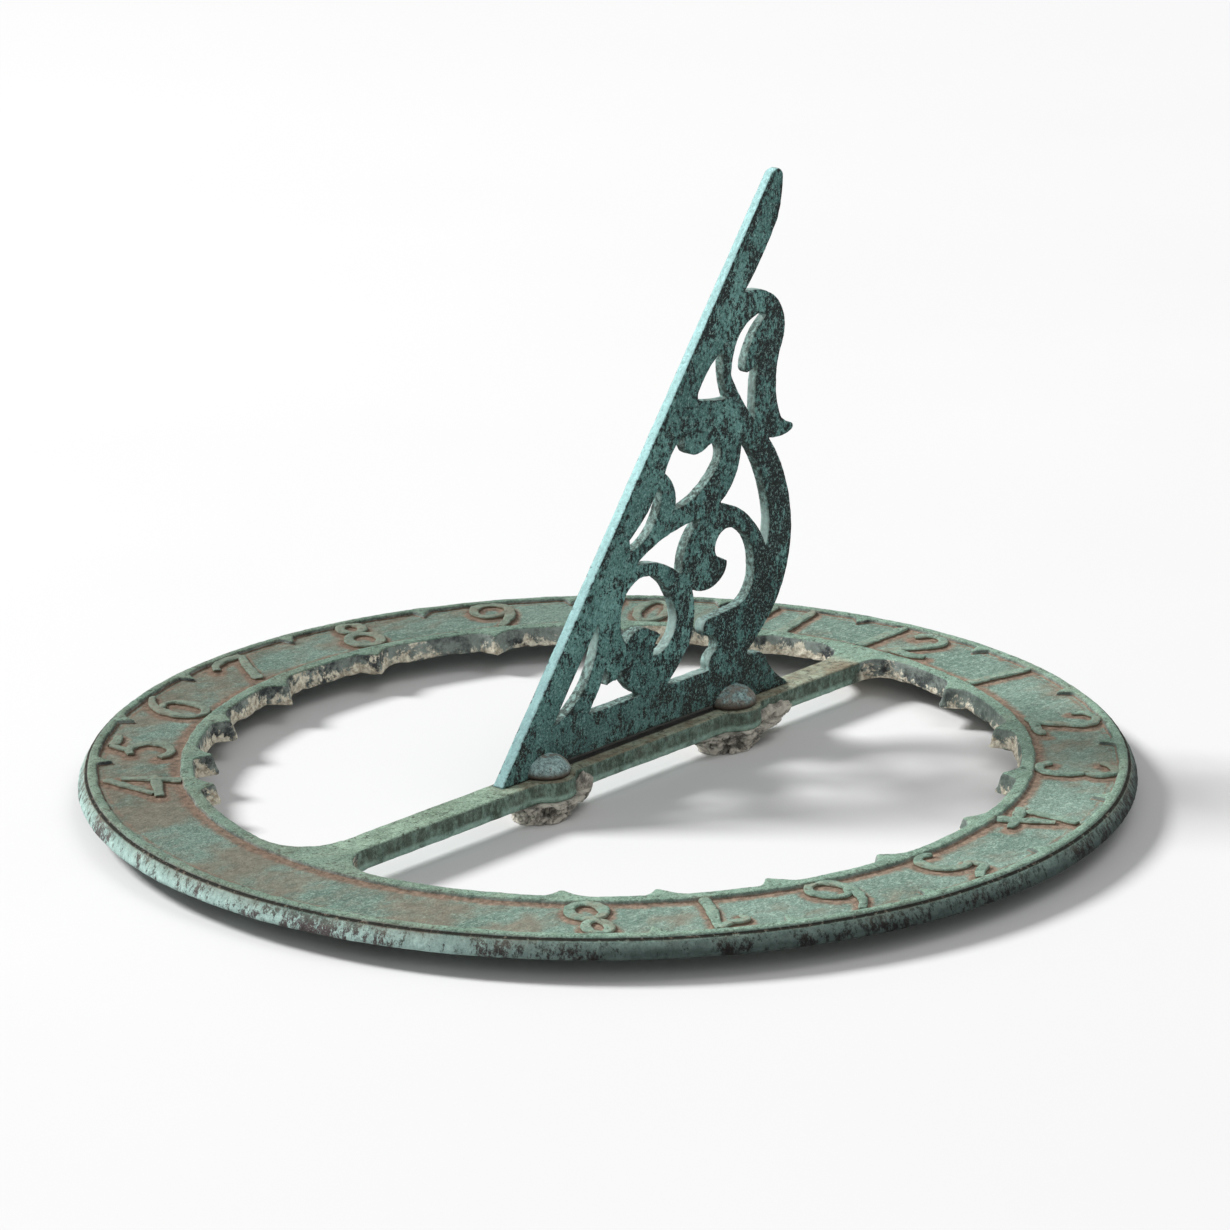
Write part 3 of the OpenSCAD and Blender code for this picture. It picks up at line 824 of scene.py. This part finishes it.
def ledges(rock, spec):
    # the lump under the lug: its side climbs in uneven steps
    seed, rows, around = spec["seed"], 22, 200

    def spot(f, a):
        x, y, z = cos(a), sin(a), lumpTop * f
        q = 3.2 * f + 0.9 * wander(x * 14, y * 22, 0, 8, seed)
        step = (floor(q) + smooth(0.25, 0.8, q - floor(q))) / 3.2
        g = min(1, max(0, 0.35 * f + 0.65 * step))
        width = 23 + 6 * g ** 1.2
        length = spec["foot"] + (spec["top"] - spec["foot"]) * g ** 1.5
        cy = spec["y"] - spec["back"] * (1 - g)
        px, py = x * 14, y * 24
        rough = 0.26 * facet(px, py, z * 2.2, 8.5, seed) + 0.1 * facet(px, py, z * 1.6, 3.8, seed + 3)
        rough += 0.07 * wander(px, py, z, 6, seed) + 0.04 * wander(px, py, z, 1.8, seed)
        crack = abs(wander(px, py, z, 3.4, seed + 20))
        s = min(1, 0.92 + rough - 0.07 * max(0, 0.12 - crack) / 0.12)
        point = (lumpX + width / 2 * s * x, cy + length / 2 * s * y, z)
        # painted shade in the cracks; painted light on the bulges and painted shade in the hollows
        return point, max(0, 0.1 - crack) / 0.1, smooth(-0.12, 0.1, rough)

    rock.wind([k / rows for k in range(rows + 1)], around, spot)


def smear(rock, spec):
    # mortar that clings to the bar's side beyond the lug
    bx, by, bz, rx, ry, rz = spec["smear"]
    seed, rows, around = spec["seed"], 17, 44

    def spot(t, a):
        d = Vector((sin(t) * cos(a), -cos(t), sin(t) * sin(a)))
        at = (d.x * rx, d.y * ry, d.z * rz)
        broken = facet(*at, 4.4, seed + 5)
        s = 0.9 + 0.26 * broken + 0.12 * wander(*at, 2.4, seed + 6)
        z = bz + rz * s * d.z * (1 - 0.3 * d.y) + 0.1 * ry * d.y
        point = (bx + rx * s * d.x, by + ry * s * d.y, min(smearHigh, max(smearLow, z)))
        # painted shade in dark patches, and painted light on the bulging facets
        return point, max(0, -wander(*at, 2, seed + 7)), 0.55 + broken

    rock.wind([pi * k / rows for k in range(1, rows)], around, spot)


def lumpMesh(name, spec):
    rock = Rock()
    ledges(rock, spec)
    smear(rock, spec)
    obj = makeMesh(name + "Rock", rock.verts, rock.faces, {"crack": rock.crack, "tone": rock.tone})
    outwards(obj)
    return obj


# materials

def newMaterial(name):
    mat = bpy.data.materials.new(name)
    mat.use_nodes = True
    mat.node_tree.nodes.clear()
    n = Nodes(mat.node_tree)
    return mat, n, n.out("ShaderNodeTexCoord", None, "Object")


def finishMaterial(n, color, rough, bump, strength, distance, metallic=0, shine=0.12):
    relief = n.out("ShaderNodeBump", {"Height": bump, "Strength": strength, "Distance": distance})
    skin = {"Base Color": color, "Roughness": rough, "Metallic": metallic, "IOR": 1.45, "Normal": relief}
    surface = n.out("ShaderNodeBsdfPrincipled", {**skin, "Specular IOR Level": shine})
    n.add("ShaderNodeOutputMaterial", {"Surface": surface})
    return surface


def westward(n, x, y):
    # 1 in the west, where the band is browner and darker
    return n.band(x + y * 0.35, 0.1, -0.14)


def flaked(n, color, coords):
    # uneven light and dark flakes over a colour, with the noise that made them
    flake = n.noise(coords, 260, 8, 0.86, 13)
    return n.scaled(color, n.band(flake, 0.3, 0.7, 0.5, 1.46, "LINEAR")), flake


def dialMaterial():
    mat, n, coords = newMaterial("dialPatina")
    rustAndShade, outer = n.attr("rustAndShade"), n.attr("outer")
    x, y, z = n.split(coords)
    up = n.band(n.split(n.out("ShaderNodeNewGeometry", None, "Normal"))[2], 0.35, 0.75)
    streaked = n.stretch(coords, 1, 0.6, 1)
    upright = n.stretch(coords, 1, 1, 0.5)
    kinds = (20, 4, 0.6), (75, 6, 0.7, 1), (380, 4, 0.7, 2), (1250, 3, 0.7, 3)
    cloud, blotch, speck, grit = n.noises(coords, *kinds)
    grain = n.noise(streaked, 700, 3, 0.65, 4)
    # the band: grey green, browner towards the south west
    tan = n.band(x * -1.9 + y * -2.3, -0.1, 0.62) * 0.1 + n.noise(streaked, 34, 5, 0.65, 12)
    base = n.layers(
        (0.135, 0.218, 0.18), ((0.21, 0.312, 0.262), cloud, 0.36, 0.64),
        ((0.36, 0.465, 0.39), grain, 0.48, 0.6, 0.55), ((0.08, 0.105, 0.08), grit, 0.49, 0.4, 0.75),
        ((0.06, 0.07, 0.05), speck, 0.4, 0.26, 0.7), ((0.225, 0.172, 0.125), tan, 0.48, 0.66, 0.66))
    # orange brown rust lies in the corners beside the raised parts; on the side of each figure turned from
    # the key light it is rust and painted shade together
    ragged = rustAndShade + (blotch - 0.5) * 1.1 + (speck - 0.5) * 0.7
    brownRustAndShade = n.tint((0.145, 0.098, 0.07), (0.295, 0.205, 0.15), speck, 0.36, 0.62)
    top = n.tint(base, brownRustAndShade, ragged, 0.18, 0.78, 0.9)
    # raised rims are a fresher green with dark pits
    rimGreen = n.layers(
        (0.145, 0.245, 0.18), ((0.255, 0.385, 0.295), blotch, 0.36, 0.62),
        ((0.42, 0.54, 0.44), grit, 0.5, 0.62, 0.6), ((0.07, 0.085, 0.06), grit, 0.46, 0.38, 0.7),
        ((0.045, 0.05, 0.035), speck, 0.45, 0.36, 0.85))
    reach = n.vector("LENGTH", {0: n.stretch(coords, 1, 1, 0)}, 1)
    bar = n.band(reach, 0.164, 0.158)
    barTop = n.layers(
        (0.24, 0.19, 0.13), ((0.34, 0.37, 0.28), blotch, 0.4, 0.6),
        ((0.075, 0.07, 0.05), speck, 0.5, 0.36, 0.75), (n.scaled(rimGreen, 1.25), y, -0.05, -0.075, 0.8))
    top = n.tint(top, rimGreen, z, 0.0167, 0.0173, 0.72)
    top = n.mix(bar * 0.85, top, barTop)
    # painted shade: the gap under the plate and the bar's top just beside it are darkened where the plate
    # keeps the key light off
    gapShade = n.band(n.math("ABSOLUTE", x + 0.004), 0.0046, 0.0031) * bar
    gapShade = gapShade * n.band(y, -0.067, -0.062) * n.band(y, 0.122, 0.118)
    top = n.mix(gapShade, top, (0.018, 0.02, 0.016))
    # outer side: light and dark flecks over brown
    fleck = n.noise(upright, 300, 7, 0.84, 6)
    patch = n.noise(upright, 36, 4, 0.6, 7)
    lightness = fleck + (patch - 0.5) * 0.45
    side = n.layers(
        (0.085, 0.07, 0.07), ((0.075, 0.085, 0.075), patch, 0.42, 0.58),
        ((0.365, 0.515, 0.475), lightness, 0.45, 0.51), ((0.52, 0.62, 0.56), grit, 0.55, 0.68, 0.55),
        ((0.035, 0.035, 0.032), fleck, 0.42, 0.32, 0.8))
    # painted shade: a near black line in the step at the lip's outer edge
    grooveShade = n.band(rustAndShade, 0.1, 0.5) * n.band(speck, 0.36, 0.46) * n.band(reach, 0.2186, 0.2193)
    # inner walls: charcoal with cream crust low down
    crustNoise = n.noise(coords, 26, 8, 0.78, 10.6, 0.8)
    inner = n.layers((0.045, 0.05, 0.052), ((0.25, 0.29, 0.265), blotch, 0.4, 0.58),
                     ((0.3, 0.34, 0.3), grit, 0.54, 0.7, 0.5))
    eastWall = n.band(x, 0.01, 0.09)
    crust = n.band(z, 0.0168, 0.0088) * 0.1 + crustNoise + n.band(y, -0.06, 0.1) * 0.035
    crust = crust + (speck - 0.5) * 0.25 - eastWall * 0.04
    inner = n.mix(eastWall * 0.45, inner, (0.19, 0.245, 0.21))
    onRing = n.band(reach, 0.1795, 0.178) * (1 - bar * 0.75)
    crustColor = n.tint((0.34, 0.28, 0.2), (0.82, 0.77, 0.63), speck, 0.35, 0.62)
    inner = n.mix(n.band(crust, 0.552, 0.59) * (onRing * 0.95), inner, crustColor)
    barSide = n.layers((0.07, 0.095, 0.07), ((0.195, 0.305, 0.25), fleck, 0.43, 0.62),
                       ((0.3, 0.4, 0.34), lightness, 0.54, 0.7, 0.6))
    edgeLow = n.band(z, 0.0122, 0.0102) * n.band(blotch, 0.36, 0.5)
    barSide = n.mix(edgeLow * 0.85, barSide, (0.34, 0.52, 0.44))
    inner = n.mix(bar * 0.85, inner, barSide)
    lower = n.mix(outer, inner, side)
    color = n.mix(up, lower, top)
    # the painted shade line in the lip's step goes on here
    color = n.mix(grooveShade * 0.95, color, (0.012, 0.015, 0.013))
    color, flake = flaked(n, color, n.stretch(coords, 1, 0.7, 0.9))
    # painted shade: the east side of the rim, turned from the key light, is darkened
    east = n.band(x, 0.06, 0.165) * outer * (1 - up)
    color = n.scaled(color, 1 - east * 0.84)
    color = n.scaled(color, 1 - westward(n, x, y) * up * 0.33)
    bump = blotch * 0.6 + speck * 0.45 + grit * 0.2 + flake * 0.25
    finishMaterial(n, color, 0.6 + speck * 0.35, bump, 0.9, 0.0019)
    return mat


def gnomonMaterial():
    mat, n, coords = newMaterial("gnomonPatina")
    rim, boss = n.attr("rimNear"), n.attr("boss")
    x, y, z = n.split(coords)
    normal = n.out("ShaderNodeNewGeometry", None, "Normal")
    flat = n.band(n.math("ABSOLUTE", n.split(normal)[0]), 0.5, 0.85)  # the plate's two faces
    # painted light and shade: how far a surface faces the key light
    lit = n.band(n.vector("DOT_PRODUCT", {0: normal, 1: (0, -0.65, 0.76)}, 1), 0.1, 0.6)
    tall = n.stretch(coords, 1, 1, 0.7)
    cloud, cluster, fleck = n.noises(tall, (28, 4, 0.6, 1), (120, 4, 0.65, 2), (520, 5, 0.8, 3))
    grit = n.noise(coords, 1150, 3, 0.7, 4)
    points = n.noise(coords, 950, 5, 0.8, 7)
    pale = fleck + (cloud - 0.5) * 0.5
    # dark flecks gather in the upper north, at the tip and beside the style edge
    across = (y + 0.0645) * 0.7965 - (z - 0.0175) * 0.6046  # distance from the style edge
    north = n.band(y - z * 0.76, -0.075, 0.055) * n.band(z, 0.02, 0.1, 0.62, 1.12)
    bias = north * 0.12 - 0.014 + n.band(z, 0.11, 0.2) * 0.052 + n.band(across, 0.006, 0.0015) * 0.04
    darkness = fleck + (0.5 - cluster) * 0.75 - bias
    sideColor = n.layers(
        (0.07, 0.165, 0.155), ((0.135, 0.295, 0.275), cloud, 0.36, 0.64),
        ((0.2, 0.4, 0.375), pale, 0.54, 0.66, 0.75), ((0.015, 0.016, 0.016), darkness, 0.466, 0.436, 0.95),
        ((0.02, 0.022, 0.021), points, 0.455, 0.42, 0.85), ((0.33, 0.52, 0.48), points, 0.54, 0.59, 0.65),
        ((0.07, 0.07, 0.055), z, 0.05, 0.02, 0.2))
    # the style edge is pitted along both of its borders
    pitted = fleck - n.band(n.math("ABSOLUTE", x + 0.004), 0.001, 0.0025) * 0.1
    edgeColor = n.layers((0.37, 0.61, 0.61), ((0.47, 0.76, 0.76), grit, 0.36, 0.6),
                         ((0.05, 0.06, 0.055), pitted, 0.38, 0.33, 0.85))
    edgeColor = n.scaled(edgeColor, 1 - n.band(z, 0.13, 0.03) * 0.36)
    shade = n.tint((0.03, 0.033, 0.03), (0.09, 0.15, 0.135), fleck, 0.4, 0.6)
    # walls of the piercings are greyer than the style edge
    litWalls = n.layers((0.07, 0.095, 0.085), ((0.24, 0.35, 0.32), fleck, 0.42, 0.58),
                     ((0.42, 0.56, 0.52), cloud, 0.5, 0.6, 0.6), (edgeColor, across, 0.0035, 0.0015))
    # painted light and shade: edges and walls facing the key light take the lit wall colour, the others the
    # dark shade colour; the plate's faces keep their own colour
    color = n.mix(flat, n.mix(lit, shade, litWalls), sideColor)
    # paler mint near the plate's edges, partly edge wear and partly painted highlight
    color = n.mix(rim * n.band(fleck, 0.5, 0.62) * 0.5, color, (0.28, 0.5, 0.46))
    pits = n.band(rim, 0.15, 0.5) * n.band(fleck, 0.54, 0.46) * flat
    color = n.mix(pits * 0.8, color, (0.025, 0.028, 0.026))
    # the bosses, darker brown towards their foot: partly rust, partly painted shade of the undercut
    bossColor = n.layers(
        (0.2, 0.275, 0.265), ((0.42, 0.61, 0.6), fleck, 0.4, 0.6),
        ((0.25, 0.18, 0.14), cluster, 0.48, 0.58, 0.7), ((0.05, 0.055, 0.05), points, 0.47, 0.41, 0.75),
        ((0.1, 0.078, 0.06), z, 0.0218, 0.0185))
    color = n.mix(boss, color, bossColor)
    flake = n.noise(tall, 300, 8, 0.86, 13)
    onSide = 1 - (1 - flat) * lit
    color = n.scaled(color, 1 + (flake - 0.5) * (0.5 + onSide * 1.9))
    color = n.tint(color, (0.36, 0.5, 0.47), grit, 0.58, 0.74, 0.25)
    bump = fleck * 0.6 + grit * 0.2 + flake * 0.3 - n.band(darkness, 0.466, 0.436) * 0.12
    finishMaterial(n, color, 0.5 + fleck * 0.4, bump, 0.85, 0.0013)
    return mat


def figureMaterial():
    mat, n, coords = newMaterial("figurePatina")
    blotch, speck, grit = n.noises(coords, (90, 5, 0.65, 1), (420, 4, 0.7, 2), (1250, 3, 0.7, 3))
    x, y, z = n.split(coords)
    color = n.layers(
        (0.15, 0.228, 0.178), ((0.245, 0.34, 0.27), blotch, 0.38, 0.62),
        ((0.42, 0.53, 0.44), grit, 0.52, 0.66, 0.6), ((0.2, 0.155, 0.11), blotch, 0.5, 0.62, 0.5),
        ((0.05, 0.055, 0.042), speck, 0.45, 0.33, 0.8))
    color = flaked(n, color, coords)[0]
    west = westward(n, x, y)
    color = n.scaled(n.mix(west * 0.4, color, (0.16, 0.15, 0.115)), 1 - west * 0.2)
    foot = n.band(z, 0.01705, 0.0161) + (speck - 0.5) * 0.8
    color = n.tint(color, (0.12, 0.075, 0.048), foot, 0.3, 0.8, 0.85)
    finishMaterial(n, color, 0.75, blotch * 0.5 + speck * 0.5 + grit * 0.2, 0.9, 0.0017)
    return mat


def mortarMaterial():
    mat, n, coords = newMaterial("oldMortar")
    crack, tone = n.attr("crack"), n.attr("tone")
    cloud, grains, grit = n.noises(coords, (75, 6, 0.7, 1), (330, 5, 0.75, 2), (1200, 3, 0.7, 3))
    # painted light and shade: bulges come out lighter and hollows darker
    level = (tone - 0.5) * 0.18 + cloud
    color = n.layers(
        (0.185, 0.175, 0.152), ((0.64, 0.61, 0.53), level, 0.4, 0.6),
        ((0.7, 0.65, 0.56), grains, 0.54, 0.66, 0.7), ((0.05, 0.043, 0.035), grains, 0.44, 0.36, 0.65))
    # painted shade in the cracks
    color = n.mix(crack * 0.7, color, (0.03, 0.025, 0.02))
    finishMaterial(n, color, 0.95, cloud * 0.6 + grains * 0.6 + grit * 0.2, 0.9, 0.0018)
    return mat


def fastenerMaterial():
    mat, n, coords = newMaterial("studBronze")
    cloud, speck = n.noises(coords, (160, 4, 0.6, 1), (700, 3, 0.6, 2))
    color = n.layers((0.19, 0.115, 0.055), ((0.36, 0.25, 0.13), cloud, 0.4, 0.6),
                     ((0.17, 0.27, 0.2), speck, 0.54, 0.66, 0.6))
    finishMaterial(n, color, 0.55, cloud * 0.5 + speck * 0.4, 0.4, 0.0004, metallic=0.6, shine=0.5)
    return mat


# the uneven skin of each casting, in metres
skins = {"dial": {"Swell": 0.0006, "SwellScale": 60.0, "Grain": 0.0006, "GrainScale": 340.0, "Seed": 4.0},
         "gnomon": {"Swell": 0.0003, "SwellScale": 60.0, "Grain": 0.0004, "GrainScale": 380.0, "Seed": 9.0},
         "lump": {"Grain": 0.0005, "GrainScale": 420.0}}
figure = {"Height": 1.7 * mm, "Squareness": 1500.0, "WearScale": 110.0, "Sides": 14}
figureFoot = topZ - 1.75  # the figures start just under the band

bake(dialPiece, castSkin, {**skins["dial"], "Material": dialMaterial()})
bake(gnomonPiece, castSkin, {**skins["gnomon"], "Material": gnomonMaterial()})
figuresPiece = bake(strokeCurve("hourFigures"), figureGroup, {**figure, "Material": figureMaterial()})
figuresPiece.data.transform(Matrix.Translation((0, 0, figureFoot * mm)))
figuresPiece.data.shade_smooth()
outwards(figuresPiece)
print("figures", len(figuresPiece.data.polygons))

mortarSkin, studSkin = mortarMaterial(), fastenerMaterial()
for name, spec in lumps.items():
    piece = lumpMesh(name, spec)
    bake(piece, castSkin, {**skins["lump"], "Seed": float(spec["seed"]), "Material": mortarSkin})
    for v in piece.data.vertices:
        v.co.z = max(v.co.z, 0)  # nothing of a lump lies under the floor
    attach(piece, "root")
    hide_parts(name)

for piece, node, slot in ((dialPiece, "dial_plate", "cast_bronze"), (gnomonPiece, "gnomon", "dark_bronze")):
    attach(piece, "root")
    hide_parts(node)
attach(figuresPiece, "root")

for name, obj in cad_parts.items():
    if name.startswith(("stud", "washer", "nut")):
        obj.data.materials.clear()
        obj.data.materials.append(studSkin)
print("pieces placed")


# floor, light and camera

paper = {"half": 6000, "under": 0.2, "fadeFrom": 0.8, "fadeTo": 2.4}  # mm, mm, m, m
white = 0.95  # how bright the backdrop looks to the camera
roomLight = 0.34
# direction, distance, size, power
lights = {"keyLight": ((-0.83, -0.27, 0.75), 12, 3.4, 2050),
          "fillLight": ((0.75, -0.9, 0.85), 4.5, 3, 26),
          "overheadLight": ((0.3, 0.3, 1), 4.5, 3, 40)}
lightTarget = Vector((0, 0, 0.05))
# rows of x, y, z: the camera's right, up and back, and its place
view = {"lens": 171.54, "sensor": 36, "nearest": 0.05, "farthest": 50,
        "rows": ((0.747816, -0.196334, 0.634211, 1.5636), (0.663852, 0.23334, -0.71053, -1.7463),
                 (-0.008486, 0.952368, 0.304832, 0.8281), (0, 0, 0, 1))}


def floorPiece():
    half, low = paper["half"], -paper["under"]
    corners = [(-half, -half, low), (half, -half, low), (half, half, low), (-half, half, low)]
    obj = makeMesh("paper", corners, [(0, 1, 2, 3)])
    mat, n, coords = newMaterial("paperWhite")
    tone = n.noise(coords, 3, 2, 0.5)
    surface = finishMaterial(n, n.mix(tone, (0.63, 0.63, 0.63), (0.66, 0.66, 0.66)), 0.95, tone, 0.05, 0.0005)
    # far away the camera sees the same white as the backdrop
    away = n.band(n.vector("LENGTH", {0: coords}, 1), paper["fadeFrom"], paper["fadeTo"])
    far = away * n.out("ShaderNodeLightPath", None, "Is Camera Ray")
    glow = n.out("ShaderNodeEmission", {"Color": (1, 1, 1), "Strength": white})
    faded = n.out("ShaderNodeMixShader", {0: far, 1: surface, 2: glow})
    n.join(faded, n.tree.nodes["Material Output"].inputs[0])
    obj.data.materials.append(mat)


def softLight(name, direction, distance, size, power):
    data = bpy.data.lights.new(name, "AREA")
    data.shape = "DISK"
    data.size = size
    data.energy = power
    obj = addObject(name, data)
    d = Vector(direction).normalized()
    obj.location = lightTarget + d * distance
    obj.rotation_euler = d.to_track_quat("Z", "Y").to_euler()


def paleRoom():
    # dim light all round, which the camera, metal and glass see as white
    world = bpy.data.worlds.new("paleRoom")
    world.use_nodes = True
    room = Nodes(world.node_tree)
    rays = room.add("ShaderNodeLightPath").outputs
    seen = room.math("MAXIMUM", rays["Is Glossy Ray"], rays["Is Transmission Ray"])
    seen = room.math("MAXIMUM", rays["Is Camera Ray"], seen)
    backdrop = world.node_tree.nodes["Background"]
    room.join((1, 1, 1), backdrop.inputs[0])
    room.join(room.band(seen, 0, 1, roomLight, white), backdrop.inputs[1])
    scene.world = world


def photoCamera():
    data = bpy.data.cameras.new("photoView")
    data.lens = view["lens"]
    data.sensor_width = view["sensor"]
    data.clip_start = view["nearest"]
    data.clip_end = view["farthest"]
    scene.camera = addObject("photoView", data)
    scene.camera.matrix_world = Matrix(view["rows"])


floorPiece()
for name, values in lights.items():
    softLight(name, *values)
paleRoom()
photoCamera()
scene.view_settings.view_transform = "Standard"
print("stage ready")
